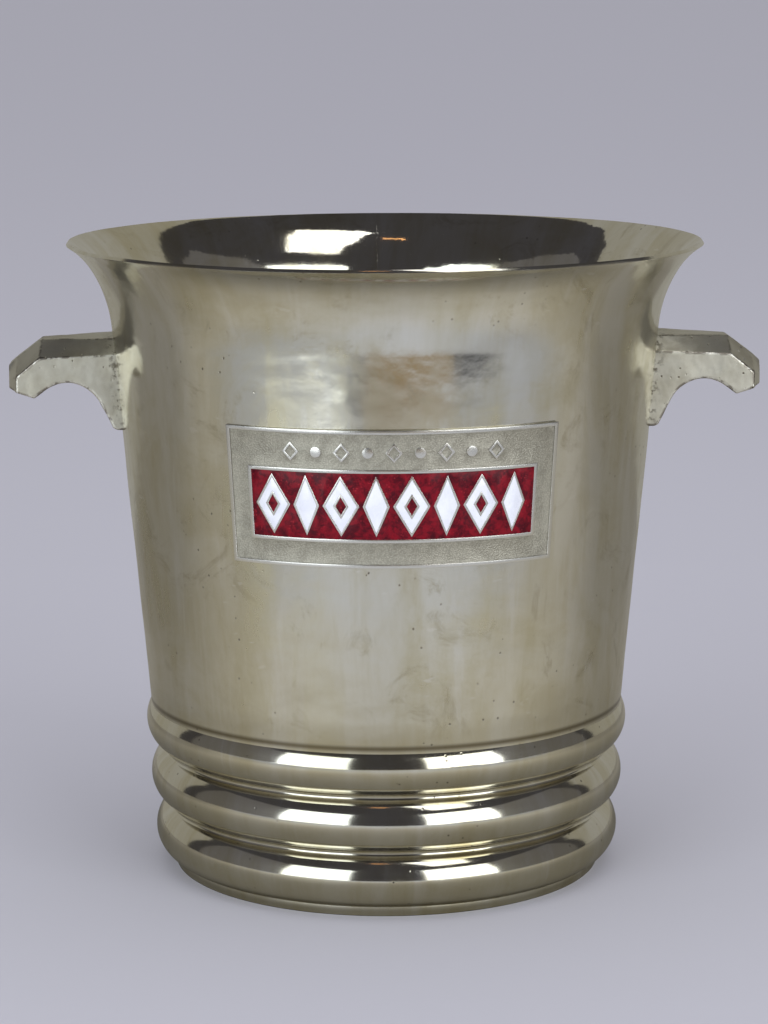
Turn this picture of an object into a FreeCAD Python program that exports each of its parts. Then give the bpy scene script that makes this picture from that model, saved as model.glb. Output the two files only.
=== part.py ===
import FreeCAD, Part
import math
import os

import Sketcher

# Silver-plated champagne bucket: a spun shell with three ribs at its foot and a
# flared lip, a disc soldered in as its bottom, two cast hook handles, and a curved
# plaque with enamel cells.
# Millimetres, +Z up. The origin is on the bucket's axis, on the surface it stands on.
# The handles stand out along X and the plaque faces -Y.

X = FreeCAD.Vector(1, 0, 0)
Z = FreeCAD.Vector(0, 0, 1)
ORIGIN = FreeCAD.Vector(0, 0, 0)
UPRIGHT = FreeCAD.Placement(ORIGIN, FreeCAD.Rotation(X, 90))  # sketch x -> X, sketch y -> Z
V_AXIS, H_AXIS = -2, -1
START, END, CENTRE = 1, 2, 3

SIZES = [
    ("sheet_gauge", 1.1, "thickness of the spun brass sheet"),
    ("overall_height", 210.0, "foot to lip"),
    ("foot_radius", 70.5, "outside of the foot where it stands"),
    ("foot_land", 0.6, "height of the foot's upright edge"),
    ("foot_bead_curve", 3.0, "radius of the foot's bead"),
    ("foot_bead_height", 2.3, "centre of the bead"),
    ("foot_groove_curve", 1.0, "hollow between the bead and the low rib"),
    ("rib_low_reach", 68.4, "axis to the centre of the low rib's section"),
    ("rib_low_height", 12.2, ""),
    ("rib_pitch", 18.8, "from one rib to the next above"),
    ("rib_step", 1.25, "each rib stands out further than the one below"),
    ("rib_low_curve", 8.7, "radius of each rib's section"),
    ("rib_mid_curve", 8.85, ""),
    ("rib_high_curve", 8.95, ""),
    ("groove_curve", 2.15, "hollow between two ribs"),
    ("neck_curve", 1.0, "hollow between the high rib and the wall"),
    ("shoulder_radius", 78.8, "straight part of the wall, low down"),
    ("shoulder_height", 62.0, ""),
    ("wall_slope", 5.06, "degrees that the wall leans out"),
    ("cone_top_height", 182.1, "where the wall starts to flare"),
    ("flare_soft_curve", 44.2, "radius of the flare's gentle part"),
    ("flare_break_height", 202.2, ""),
    ("flare_lip_curve", 25.9, "radius of the flare's tight part"),
    ("base_radius", 69.8, "disc that closes the bottom"),
    ("base_gauge", 1.2, ""),
    ("base_height", 2.6, "its underside"),
    ("seam_width", 3.4, "solder fillet on the disc"),
    ("seam_lap", 0.8, "its section runs into the sheet by this much"),
    ("seam_reach", 5.0, "and by this much at its top"),
    ("seam_height", 3.4, ""),
    ("handle_width", 28.0, "cast lug, along Y"),
    ("handle_root_reach", 78.0, "casting before it is fitted to the wall"),
    ("handle_corner_reach", 113.5, ""),
    ("handle_cheek_reach", 121.3, ""),
    ("handle_reach", 124.4, "axis to the handle's nose"),
    ("handle_root_crest", 179.0, "height of the top facet"),
    ("handle_corner_crest", 177.9, ""),
    ("handle_cheek_crest", 172.1, ""),
    ("handle_nose_crest", 169.4, ""),
    ("handle_root_edge", 173.9, "height of the side faces' top edge"),
    ("handle_corner_edge", 172.8, ""),
    ("handle_cheek_edge", 166.4, ""),
    ("handle_nose_edge", 164.6, ""),
    ("handle_root_crest_width", 25.6, "width of the top facet"),
    ("handle_nose_crest_width", 8.4, ""),
    ("handle_nose_width", 9.6, "blunt end of the hook"),
    ("handle_leg_bottom", 148.8, ""),
    ("handle_leg_reach", 88.4, ""),
    ("handle_leg_slope", 64.0, "degrees from level"),
    ("handle_leg_corner", 1.3, ""),
    ("finger_gap_curve", 12.0, "radius over the finger"),
    ("finger_gap_reach", 104.7, ""),
    ("finger_gap_height", 152.5, ""),
    ("handle_lip_slope", 36.0, "degrees from level"),
    ("handle_lip_reach", 115.5, "lowest point of the hook"),
    ("handle_lip_height", 159.4, ""),
    ("handle_chin_height", 161.2, ""),
    ("handle_solder_width", 1.3, "fillet round the handle's root"),
    ("handle_solder_height", 0.9, ""),
    ("plaque_low", 115.9, "lower edge of the plaque"),
    ("plaque_high", 159.4, ""),
    ("plaque_half_angle", 35.3, "degrees round the wall"),
    ("plaque_solder_gauge", 0.2, ""),
    ("plaque_solder_inset", 0.5, "solder stops short of the plaque's edge"),
    ("plaque_solder_inset_angle", 0.4, "the same in degrees"),
    ("plaque_gauge", 1.2, ""),
    ("ridge_height", 0.5, "raised lines stand above the plate"),
    ("border_width", 1.2, "raised line at the plaque's edge"),
    ("border_angle", 0.8, "the same width in degrees round the wall"),
    ("frame_low", 124.0, "raised frame round the enamel"),
    ("frame_high", 147.1, ""),
    ("frame_half_angle", 30.6, ""),
    ("frame_width", 1.1, ""),
    ("frame_angle", 0.75, ""),
    ("enamel_depth", 0.4, "enamel filled nearly to the ridges"),
    ("lozenge_height", 16.9, "white enamel lozenges"),
    ("open_lozenge_width", 10.0, ""),
    ("slim_lozenge_width", 6.8, ""),
    ("lozenge_eye_height", 8.0, "inner edge of an open lozenge"),
    ("lozenge_eye_width", 4.8, ""),
    ("cell_wall_side", 0.75, "metal wall round a cell, at its side corners"),
    ("cell_wall_tip", 1.15, "and at its top and bottom corners"),
    ("lozenge_pitch", 7.2, "degrees from one lozenge to the next"),
    ("relief_centre_height", 152.4, "row of small raised ornaments"),
    ("relief_height", 6.1, ""),
    ("relief_width", 5.4, ""),
    ("relief_line", 1.0, ""),
    ("relief_rise", 0.4, ""),
    ("pearl_radius", 1.7, ""),
    ("relief_pitch", 5.25, "degrees from one ornament to the next"),
]
LOZENGES = 8
RELIEFS = 9

WALL_RADIUS = "(sizes.shoulder_radius + (%s - sizes.shoulder_height) * tan(sizes.wall_slope * 1deg))"
LOZENGE_CENTRE = "(sizes.frame_low + sizes.frame_high) / 2"
PAST_THE_WALL = 120.0  # length of a radial cutter, axis to well outside the wall
CLEAR = "5"  # how far a cutting shape runs past the piece
ONE_CELL = "10"  # half-angle of a skin that is wider than any one cell or ornament

# First guesses for what the wall's tangents settle.
SOFT_FLARE_SPREAD = "6.9"
LIP_FLARE_SPREAD = "7.5"
NEARLY_STRAIGHT = 10000.0  # a circle this large passes for the wall

doc = FreeCAD.newDocument("champagne_bucket")


def make_sheet():
    """Driving dimensions, one row each, with the alias that the model reads."""
    sheet = doc.addObject("Spreadsheet::Sheet", "sizes")
    for row, (alias, value, meaning) in enumerate(SIZES, start=1):
        sheet.set("A%d" % row, alias)
        sheet.set("B%d" % row, str(value))
        sheet.set("C%d" % row, meaning)
        sheet.setAlias("B%d" % row, alias)
    doc.recompute()
    return sheet


def value_of(obj, formula):
    result = obj.evalExpression(formula)
    return float(getattr(result, "Value", result))


class Outline:
    """A chain of lines and arcs in a sketch, each corner bound to the sheet."""

    def __init__(self, sketch, x, y):
        self.sketch = sketch
        self.first = (x, y)
        self.here = (value_of(sketch, x), value_of(sketch, y))
        self.head = None
        self.tail = None

    def bind(self, constraint, formula):
        index = self.sketch.addConstraint(constraint)
        self.sketch.setExpression("Constraints[%d]" % index, formula)

    def pin(self, point, x, y):
        for kind, formula in (("DistanceX", x), ("DistanceY", y)):
            if formula is None:
                continue
            place = value_of(self.sketch, formula)
            if abs(place) < 1e-9:
                axis = V_AXIS if kind == "DistanceX" else H_AXIS
                self.sketch.addConstraint(Sketcher.Constraint("PointOnObject", *point, axis))
            else:
                self.bind(Sketcher.Constraint(kind, H_AXIS, 1, *point, place), formula)

    def join(self, geometry, start, end, smooth):
        edge = self.sketch.addGeometry(geometry, False)
        if self.tail is None:
            self.head = (edge, start)
            self.pin(self.head, *self.first)
        else:
            kind = "Tangent" if smooth else "Coincident"
            self.sketch.addConstraint(Sketcher.Constraint(kind, *self.tail, edge, start))
        self.tail = (edge, end)
        return edge

    def line_to(self, x, y, smooth=False):
        there = (value_of(self.sketch, x), value_of(self.sketch, y))
        segment = Part.LineSegment(FreeCAD.Vector(*self.here, 0), FreeCAD.Vector(*there, 0))
        edge = self.join(segment, START, END, smooth)
        self.pin(self.tail, x, y)
        self.here = there
        return edge

    def sweep(self, there, radius, hollow, smooth):
        """Arc whose centre lies to the left of travel, or to the right if hollow."""
        size = value_of(self.sketch, radius)
        run = (there[0] - self.here[0], there[1] - self.here[1])
        chord = math.hypot(*run)
        rise = math.sqrt(max(size**2 - chord**2 / 4, 0))
        side = 1 if hollow else -1
        centre = (
            (self.here[0] + there[0]) / 2 + side * rise * run[1] / chord,
            (self.here[1] + there[1]) / 2 - side * rise * run[0] / chord,
        )
        first, last = (there, self.here) if hollow else (self.here, there)
        angles = [math.atan2(p[1] - centre[1], p[0] - centre[0]) for p in (first, last)]
        circle = Part.Circle(FreeCAD.Vector(*centre, 0), Z, size)
        ends = (END, START) if hollow else (START, END)
        edge = self.join(Part.ArcOfCircle(circle, *angles), *ends, smooth)
        self.bind(Sketcher.Constraint("Radius", edge, size), radius)
        self.here = there
        return edge

    def arc_to(self, x, y, radius, hollow=False):
        """Arc to a corner."""
        there = (value_of(self.sketch, x), value_of(self.sketch, y))
        self.sweep(there, radius, hollow, smooth=False)
        self.pin(self.tail, x, y)

    def flare_to(self, x, y, radius):
        """Smooth hollow arc up to a height; the tangent settles how far out it ends."""
        there = (value_of(self.sketch, x), value_of(self.sketch, y))
        self.sweep(there, radius, hollow=True, smooth=True)
        self.pin(self.tail, None, y)

    def hollow_to(self, there, radius):
        """Smooth hollow arc to about here: the next piece's tangent settles where."""
        self.sweep(there, radius, hollow=True, smooth=True)

    def round_to(self, there, radius, x, y, smooth=True):
        """Round arc about a pinned centre to about here."""
        edge = self.sweep(there, radius, hollow=False, smooth=smooth)
        self.pin((edge, CENTRE), x, y)

    def close(self):
        """Straight back to the first corner."""
        start = tuple(value_of(self.sketch, formula) for formula in self.first)
        segment = Part.LineSegment(FreeCAD.Vector(*self.here, 0), FreeCAD.Vector(*start, 0))
        self.join(segment, START, END, False)
        self.sketch.addConstraint(Sketcher.Constraint("Coincident", *self.tail, *self.head))


def free_sketch(name):
    sketch = doc.addObject("Sketcher::SketchObject", name)
    sketch.Placement = UPRIGHT
    return sketch


def body_sketch(body, name, role, offset=None):
    """Sketch on one of a body's origin planes, moved along its normal by a formula."""
    sketch = body.newObject("Sketcher::SketchObject", name)
    plane = [p for p in body.Origin.OriginFeatures if p.Role == role][0]
    sketch.AttachmentSupport = [(plane, "")]
    sketch.MapMode = "FlatFace"
    if offset:
        sketch.setExpression("AttachmentOffset.Base.z", offset)
    doc.recompute()
    return sketch


def cut(name, base, tool):
    result = doc.addObject("Part::Cut", name)
    result.Base, result.Tool = base, tool
    return result


def common(name, base, tool):
    result = doc.addObject("Part::Common", name)
    result.Base, result.Tool = base, tool
    return result


def fuse(name, shapes):
    result = doc.addObject("Part::MultiFuse", name)
    result.Shapes = shapes
    return result


def turn(obj, formula):
    """Swing a piece that was made facing -Y round the bucket's axis."""
    obj.Placement = FreeCAD.Placement(ORIGIN, FreeCAD.Rotation(Z, value_of(obj, formula)))
    obj.setExpression("Placement.Rotation.Angle", formula)
    return obj


# ---------------------------------------------------------------- shell and base


def ball_touches(low, high, ball):
    """Where a ball that rests in the groove between two circles, (x, y, radius), touches each."""
    run = (high[0] - low[0], high[1] - low[1])
    span = math.hypot(*run)
    to_low, to_high = low[2] + ball, high[2] + ball
    along = (span**2 + to_low**2 - to_high**2) / (2 * span)
    out = math.sqrt(to_low**2 - along**2)
    centre = (
        low[0] + (run[0] * along + run[1] * out) / span,
        low[1] + (run[1] * along - run[0] * out) / span,
    )
    touches = []
    for x, y, radius in (low, high):
        share = radius / (radius + ball)
        touches.append((x + (centre[0] - x) * share, y + (centre[1] - y) * share))
    return touches


def trace_wall(outline):
    """Outside of the bucket, from the foot's upright edge to the lip."""

    def number(formula):
        return value_of(outline.sketch, formula)

    outline.line_to("sizes.foot_radius", "sizes.foot_land")
    bead_curve = number("sizes.foot_bead_curve")
    bead_lift = number("sizes.foot_bead_height - sizes.foot_land")
    bead_reach = number("sizes.foot_radius") - math.sqrt(bead_curve**2 - bead_lift**2)
    bead = (None, "sizes.foot_bead_height", "sizes.foot_bead_curve")
    ribs = [
        (
            "sizes.rib_low_reach + %d * sizes.rib_step" % step,
            "sizes.rib_low_height + %d * sizes.rib_pitch" % step,
            "sizes.rib_%s_curve" % name,
        )
        for step, name in enumerate(("low", "mid", "high"))
    ]
    slope = math.radians(number("sizes.wall_slope"))
    wall = (
        number("sizes.shoulder_radius") - NEARLY_STRAIGHT * math.cos(slope),
        number("sizes.shoulder_height") + NEARLY_STRAIGHT * math.sin(slope),
        NEARLY_STRAIGHT,
    )
    circles = [(bead_reach, number(bead[1]), bead_curve)]
    circles += [tuple(number(formula) for formula in rib) for rib in ribs] + [wall]
    balls = ["sizes.foot_groove_curve", "sizes.groove_curve", "sizes.groove_curve", "sizes.neck_curve"]
    for index, (x, y, curve) in enumerate([bead] + ribs):
        low, high = ball_touches(circles[index], circles[index + 1], number(balls[index]))
        outline.round_to(low, curve, x, y, smooth=index > 0)
        outline.hollow_to(high, balls[index])
    edge = outline.line_to(WALL_RADIUS % "sizes.cone_top_height", "sizes.cone_top_height", smooth=True)
    outline.bind(Sketcher.Constraint("Angle", edge, math.pi / 2 - slope), "90deg - sizes.wall_slope * 1deg")
    soft_end = WALL_RADIUS % "sizes.cone_top_height" + " + " + SOFT_FLARE_SPREAD
    outline.flare_to(soft_end, "sizes.flare_break_height", "sizes.flare_soft_curve")
    outline.flare_to(soft_end + " + " + LIP_FLARE_SPREAD, "sizes.overall_height", "sizes.flare_lip_curve")


def make_shell():
    profile = free_sketch("wall_profile")
    trace_wall(Outline(profile, "sizes.foot_radius", "0"))
    section = doc.addObject("Part::Offset2D", "wall_section")
    section.Source = profile
    section.Mode = "Skin"
    section.Join = "Arc"
    section.Fill = True
    section.setExpression("Value", "sizes.sheet_gauge")
    return spin("body_shell", section)


def spin(name, section):
    result = doc.addObject("Part::Revolution", name)
    result.Source = section
    result.Axis = Z
    result.Base = ORIGIN
    result.Angle = 360
    result.Solid = True
    return result


def make_core():
    """The bucket as if it were solid: what fits on the wall is cut back by it."""
    profile = free_sketch("core_profile")
    outline = Outline(profile, "sizes.foot_radius", "0")
    trace_wall(outline)
    outline.line_to("0", "sizes.overall_height")
    outline.line_to("0", "0")
    outline.close()
    return spin("wall_core", profile)


def make_base():
    base = doc.addObject("Part::Cylinder", "base_plate")
    base.setExpression("Radius", "sizes.base_radius")
    base.setExpression("Height", "sizes.base_gauge")
    base.setExpression("Placement.Base.z", "sizes.base_height")
    return base


def make_base_seam(shell):
    top = "sizes.base_height + sizes.base_gauge"
    profile = free_sketch("seam_profile")
    outline = Outline(profile, "sizes.base_radius - sizes.seam_width", top)
    outline.line_to("sizes.base_radius + sizes.seam_lap", top)
    outline.line_to("sizes.base_radius + sizes.seam_reach", top + " + sizes.seam_height")
    outline.close()
    return cut("base_solder_seam", spin("seam_ring", profile), shell)


# ---------------------------------------------------------------------- handles


def handle_section(body, station, reach, half_width, edge, crest, crest_width):
    """Section across the handle: upright sides, sloped shoulders and a flat crest."""
    sketch = body_sketch(body, "handle_%s" % station, "YZ_Plane", reach)
    crest_half = crest_width + " / 2"
    outline = Outline(sketch, "-(%s)" % half_width, "sizes.handle_leg_bottom")
    outline.line_to(half_width, "sizes.handle_leg_bottom")
    outline.line_to(half_width, edge)
    outline.line_to(crest_half, crest)
    outline.line_to("-(%s)" % crest_half, crest)
    outline.line_to("-(%s)" % half_width, edge)
    outline.close()
    return sketch


def handle_blank(body):
    side = "sizes.handle_width / 2"
    nose_half = "sizes.handle_nose_width / 2"
    narrow = "sizes.handle_nose_crest_width"
    sections = [
        handle_section(
            body, station, "sizes.handle_%s" % reach, half_width,
            "sizes.handle_%s_edge" % station, "sizes.handle_%s_crest" % station, crest_width,
        )
        for station, reach, half_width, crest_width in (
            ("root", "root_reach", side, "sizes.handle_root_crest_width"),
            ("corner", "corner_reach", side, narrow),
            ("cheek", "cheek_reach", side, narrow),
            ("nose", "reach", nose_half, narrow),
        )
    ]
    blank = body.newObject("PartDesign::AdditiveLoft", "handle_blank")
    blank.Profile = sections[0]
    blank.Sections = sections[1:]
    blank.Ruled = True
    return blank


def finger_gap(body):
    """Underside of the hook: leg, arch over the finger, lip and chin."""
    sketch = body_sketch(body, "handle_underside", "XZ_Plane")
    leg = "sizes.handle_leg_slope * 1deg"
    arch_in = (
        "sizes.finger_gap_reach - sizes.finger_gap_curve * sin(%s)" % leg,
        "sizes.finger_gap_height + sizes.finger_gap_curve * cos(%s)" % leg,
    )
    lip = "sizes.handle_lip_slope * 1deg"
    arch_out = (
        "sizes.finger_gap_reach + sizes.finger_gap_curve * sin(%s)" % lip,
        "sizes.finger_gap_height + sizes.finger_gap_curve * cos(%s)" % lip,
    )
    below = "sizes.handle_leg_bottom - " + CLEAR
    beyond = "sizes.handle_reach + " + CLEAR
    outline = Outline(sketch, "sizes.handle_leg_reach", below)
    outline.line_to("sizes.handle_leg_reach", "sizes.handle_leg_bottom")
    outline.line_to(
        "sizes.handle_leg_reach + sizes.handle_leg_corner",
        "sizes.handle_leg_bottom + sizes.handle_leg_corner / 2",
    )
    outline.line_to(*arch_in)
    outline.arc_to(*arch_out, "sizes.finger_gap_curve", hollow=True)
    outline.line_to("sizes.handle_lip_reach", "sizes.handle_lip_height")
    outline.line_to("sizes.handle_cheek_reach", "sizes.handle_chin_height")
    outline.line_to(beyond, "sizes.handle_chin_height + 1")
    outline.line_to(beyond, below)
    outline.close()
    pocket = body.newObject("PartDesign::Pocket", "finger_gap")
    pocket.Profile = sketch
    pocket.Type = "ThroughAll"
    pocket.Midplane = True
    return pocket


def make_right_handle(core):
    body = doc.addObject("PartDesign::Body", "handle_casting")
    blank = handle_blank(body)
    doc.recompute()
    full = blank.Shape.Volume
    gap = finger_gap(body)
    body.Tip = gap
    doc.recompute()
    if not 0.2 * full < gap.Shape.Volume < 0.9 * full:
        raise SystemExit("the finger gap did not cut the handle")
    return cut("right_handle", body, core)


def make_right_handle_solder(handle, core):
    """Thin collar of solder on the wall, all round the handle's root."""
    half = "(sizes.handle_width / 2 + sizes.handle_solder_width)"
    low = "(sizes.handle_leg_bottom - sizes.handle_solder_width)"
    high = "(sizes.handle_root_crest + sizes.handle_solder_width)"
    skin = cone("solder_skin", low, high, "sizes.handle_solder_height")
    block = doc.addObject("Part::Box", "solder_block")
    block.setExpression("Length", "sizes.handle_reach - sizes.handle_root_reach")
    block.setExpression("Width", "2 * " + half)
    block.setExpression("Height", "%s - %s" % (high, low))
    block.setExpression("Placement.Base.x", "sizes.handle_root_reach")
    block.setExpression("Placement.Base.y", "-" + half)
    block.setExpression("Placement.Base.z", low)
    collar = cut("solder_collar", common("solder_patch", skin, block), core)
    return cut("right_handle_solder", collar, handle)


def mirror(name, source):
    result = doc.addObject("Part::Mirroring", name)
    result.Source = source
    result.Normal = X
    return result


# ----------------------------------------------------------------------- plaque


def cone(name, low, high, stand_off, half_angle=None):
    """Solid cone that stands off the wall, whole or as a sector about -Y."""
    result = doc.addObject("Part::Cone", name)
    result.setExpression("Radius1", WALL_RADIUS % ("(%s)" % low) + " + " + stand_off)
    result.setExpression("Radius2", WALL_RADIUS % ("(%s)" % high) + " + " + stand_off)
    result.setExpression("Height", "%s - %s" % (high, low))
    if half_angle:
        result.setExpression("Angle", "2 * (%s)" % half_angle)
        turn(result, "270 - (%s)" % half_angle)
    result.setExpression("Placement.Base.z", low)
    return result


def layer(name, low, high, inside, outside, half_angle):
    """Curved plate on the wall, between two stand-offs."""
    outer = cone(name + "_outer", low, high, outside, half_angle)
    inner = cone(name + "_inner", low, high, inside)
    return cut(name, outer, inner)


def ring_of_ridges(name, low, high, half_angle, width, angle, inside, outside):
    """Raised rectangular frame: a sector with a smaller sector taken out of it."""
    whole = layer(name + "_whole", low, high, inside, outside, half_angle)
    middle = cone(
        name + "_middle", "(%s + %s)" % (low, width), "(%s - %s)" % (high, width),
        outside + " + " + CLEAR, "(%s - %s)" % (half_angle, angle),
    )
    return cut(name, whole, middle)


def lozenge(name, width, height, centre):
    """Upright lozenge as a radial bar, from the axis out through the wall."""
    sketch = free_sketch(name + "_outline")
    outline = Outline(sketch, "(%s) / 2" % width, centre)
    outline.line_to("0", "%s + (%s) / 2" % (centre, height))
    outline.line_to("-(%s) / 2" % width, centre)
    outline.line_to("0", "%s - (%s) / 2" % (centre, height))
    outline.close()
    bar = doc.addObject("Part::Extrusion", name)
    bar.Base = sketch
    bar.DirMode = "Normal"
    bar.LengthFwd = PAST_THE_WALL
    bar.Solid = True
    return bar


def pearl():
    bar = doc.addObject("Part::Cylinder", "pearl_bar")
    bar.setExpression("Radius", "sizes.pearl_radius")
    bar.Height = PAST_THE_WALL
    bar.Placement = UPRIGHT
    bar.setExpression("Placement.Base.z", "sizes.relief_centre_height")
    return bar


def place_in_row(index, count, pitch):
    return "(%d - %r) * %s" % (index, (count + 1) / 2, pitch)


PLATE_BACK = "sizes.plaque_solder_gauge"
PLATE_MIDDLE = "(sizes.plaque_solder_gauge + sizes.plaque_gauge / 2)"
PLATE_FACE = "(sizes.plaque_solder_gauge + sizes.plaque_gauge)"
RIDGE_TOP = "(%s + sizes.ridge_height)" % PLATE_FACE
ENAMEL_TOP = "(%s + sizes.enamel_depth)" % PLATE_FACE
RELIEF_TOP = "(%s + sizes.relief_rise)" % PLATE_FACE


class Cells:
    """Radial bars for the two kinds of enamel cell, open and slim."""

    def __init__(self):
        side, tip = "2 * sizes.cell_wall_side", "2 * sizes.cell_wall_tip"
        tall = "sizes.lozenge_height"
        self.white = {}
        self.wall = {}
        self.outside = {}
        for kind in ("open", "slim"):
            wide = "sizes.%s_lozenge_width" % kind
            self.white[kind] = lozenge("%s_white" % kind, wide, tall, LOZENGE_CENTRE)
            self.outside[kind] = lozenge(
                "%s_outside" % kind, "%s + %s" % (wide, side), "%s + %s" % (tall, tip),
                LOZENGE_CENTRE,
            )
            self.wall[kind] = cut("%s_wall" % kind, self.outside[kind], self.white[kind])
        eye_wide, eye_tall = "sizes.lozenge_eye_width", "sizes.lozenge_eye_height"
        eye = lozenge("lozenge_eye", eye_wide, eye_tall, LOZENGE_CENTRE)
        self.island = lozenge(
            "eye_island", "%s - %s" % (eye_wide, side), "%s - %s" % (eye_tall, tip),
            LOZENGE_CENTRE,
        )
        eye_wall = cut("eye_wall", eye, self.island)
        self.wall["open"] = fuse("open_walls", [self.wall["open"], eye_wall])
        self.white["open"] = cut("open_ring", self.white["open"], eye)


def kind_of(index):
    return "open" if index % 2 else "slim"


def make_plaque_plate(cells):
    """Struck plate: flat field, raised border, frame, cell walls and small ornaments."""
    low, high, spread = "sizes.plaque_low", "sizes.plaque_high", "sizes.plaque_half_angle"
    field = layer("plaque_field", low, high, PLATE_BACK, PLATE_FACE, spread)
    border = ring_of_ridges(
        "plaque_border", low, high, spread, "sizes.border_width", "sizes.border_angle",
        PLATE_MIDDLE, RIDGE_TOP,
    )
    frame = ring_of_ridges(
        "enamel_frame", "sizes.frame_low", "sizes.frame_high", "sizes.frame_half_angle",
        "sizes.frame_width", "sizes.frame_angle", PLATE_MIDDLE, RIDGE_TOP,
    )
    raised = [field, border, frame]
    ridges = layer("ridge_skin", low, high, PLATE_MIDDLE, RIDGE_TOP, ONE_CELL)
    for index in range(1, LOZENGES + 1):
        wall = common("cell_wall_%d" % index, cells.wall[kind_of(index)], ridges)
        raised.append(turn(wall, place_in_row(index, LOZENGES, "sizes.lozenge_pitch")))
    raised += make_relief_row(low, high)
    return fuse("plaque_plate", raised)


def make_relief_row(low, high):
    """Outlined lozenges and pearls in turn, along the plaque's upper band."""
    wide, tall, line = "sizes.relief_width", "sizes.relief_height", "2 * sizes.relief_line"
    centre = "sizes.relief_centre_height"
    outer = lozenge("relief_outer", wide, tall, centre)
    inner = lozenge("relief_inner", "%s - %s" % (wide, line), "%s - %s" % (tall, line), centre)
    kinds = {"open": cut("relief_outline", outer, inner), "slim": pearl()}
    skin = layer("relief_skin", low, high, PLATE_MIDDLE, RELIEF_TOP, ONE_CELL)
    row = []
    for index in range(1, RELIEFS + 1):
        ornament = common("relief_%d" % index, kinds[kind_of(index)], skin)
        row.append(turn(ornament, place_in_row(index, RELIEFS, "sizes.relief_pitch")))
    return row


def make_enamel(cells):
    """Red ground round the cells, a red island in each open cell, and the white."""
    low = "(sizes.frame_low + sizes.frame_width)"
    high = "(sizes.frame_high - sizes.frame_width)"
    spread = "(sizes.frame_half_angle - sizes.frame_angle)"
    ground = layer("enamel_ground", low, high, PLATE_FACE, ENAMEL_TOP, spread)
    skin = layer("enamel_skin", low, high, PLATE_FACE, ENAMEL_TOP, ONE_CELL)
    pieces = []
    holes = []
    for index in range(1, LOZENGES + 1):
        place = place_in_row(index, LOZENGES, "sizes.lozenge_pitch")
        kind = kind_of(index)
        hole = common("cell_%d" % index, cells.outside[kind], skin)
        holes.append(turn(hole, place))
        white = common("white_enamel_%d" % index, cells.white[kind], skin)
        pieces.append(turn(white, place))
        if kind == "open":
            island = common("red_enamel_island_%d" % ((index + 1) // 2), cells.island, skin)
            pieces.append(turn(island, place))
    red = cut("red_enamel_ground", ground, fuse("all_cells", holes))
    return [red] + pieces


def make_plaque_solder():
    return layer(
        "plaque_solder", "(sizes.plaque_low + sizes.plaque_solder_inset)",
        "(sizes.plaque_high - sizes.plaque_solder_inset)", "0",
        PLATE_BACK, "(sizes.plaque_half_angle - sizes.plaque_solder_inset_angle)",
    )


def build():
    make_sheet()
    shell = make_shell()
    core = make_core()
    base = make_base()
    seam = make_base_seam(shell)
    handle = make_right_handle(core)
    solder = make_right_handle_solder(handle, core)
    cells = Cells()
    nodes = [shell, base, seam, handle, solder]
    nodes += [mirror("left_handle", handle), mirror("left_handle_solder", solder)]
    nodes += [make_plaque_plate(cells), make_plaque_solder()]
    nodes += make_enamel(cells)
    doc.recompute()
    return nodes


def check_and_export(nodes):
    for obj in doc.Objects:
        if "Invalid" in obj.State or "Error" in obj.State:
            raise SystemExit("failed: %s %s" % (obj.Name, obj.State))
    for node in nodes:
        node.Label = node.Name
        if node.Shape.isNull() or not node.Shape.isValid() or not node.Shape.Solids:
            raise SystemExit("bad shape: %s" % node.Name)
        print("%-24s %10.1f mm3, solids %d" % (node.Label, node.Shape.Volume, len(node.Shape.Solids)))
    os.makedirs("parts", exist_ok=True)
    for node in nodes:
        node.Shape.exportStep("parts/%s.step" % node.Label)


check_and_export(build())
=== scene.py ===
import math

import bpy
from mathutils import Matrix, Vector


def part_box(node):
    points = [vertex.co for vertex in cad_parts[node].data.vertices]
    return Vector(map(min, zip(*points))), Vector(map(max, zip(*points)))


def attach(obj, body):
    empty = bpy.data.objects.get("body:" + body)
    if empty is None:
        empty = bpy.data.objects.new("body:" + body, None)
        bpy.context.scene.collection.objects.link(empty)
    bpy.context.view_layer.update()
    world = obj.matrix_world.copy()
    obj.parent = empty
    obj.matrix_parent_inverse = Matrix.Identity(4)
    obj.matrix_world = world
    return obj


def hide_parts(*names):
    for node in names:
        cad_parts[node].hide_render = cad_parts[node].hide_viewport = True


MM = 0.001
FULL_TURN = 2 * math.pi

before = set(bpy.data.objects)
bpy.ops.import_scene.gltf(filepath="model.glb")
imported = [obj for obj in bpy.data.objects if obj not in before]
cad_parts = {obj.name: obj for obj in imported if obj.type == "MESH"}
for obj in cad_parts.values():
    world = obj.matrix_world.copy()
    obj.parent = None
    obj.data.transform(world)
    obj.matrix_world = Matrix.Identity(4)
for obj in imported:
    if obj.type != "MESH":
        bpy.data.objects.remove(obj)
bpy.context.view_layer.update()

# ------------------------------------------------------------------ sizes, in metres

OVERALL_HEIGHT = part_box("body_shell")[1].z
OUTSIDE_TOP = 210 * MM  # the sheet's inner edge stands a little higher
GAUGE = 1.1 * MM
FOOT_RADIUS, FOOT_LAND = 70.5 * MM, 0.6 * MM
BEAD_HEIGHT, BEAD_CURVE = 2.3 * MM, 3.0 * MM
RIB_REACH, RIB_HEIGHT = 68.4 * MM, 12.2 * MM  # centre of the lowest rib's section
RIB_PITCH, RIB_STEP = 18.8 * MM, 1.25 * MM
RIB_CURVES = [8.7 * MM, 8.85 * MM, 8.95 * MM]
FOOT_HOLLOW, RIB_HOLLOW, NECK_HOLLOW = 1.0 * MM, 2.15 * MM, 1.0 * MM
SHOULDER_RADIUS, SHOULDER_HEIGHT = 78.8 * MM, 62.0 * MM
WALL_SLOPE = math.radians(5.06)
WALL_AT_TABLE = SHOULDER_RADIUS - SHOULDER_HEIGHT * math.tan(WALL_SLOPE)  # were it straight all the way
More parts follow.
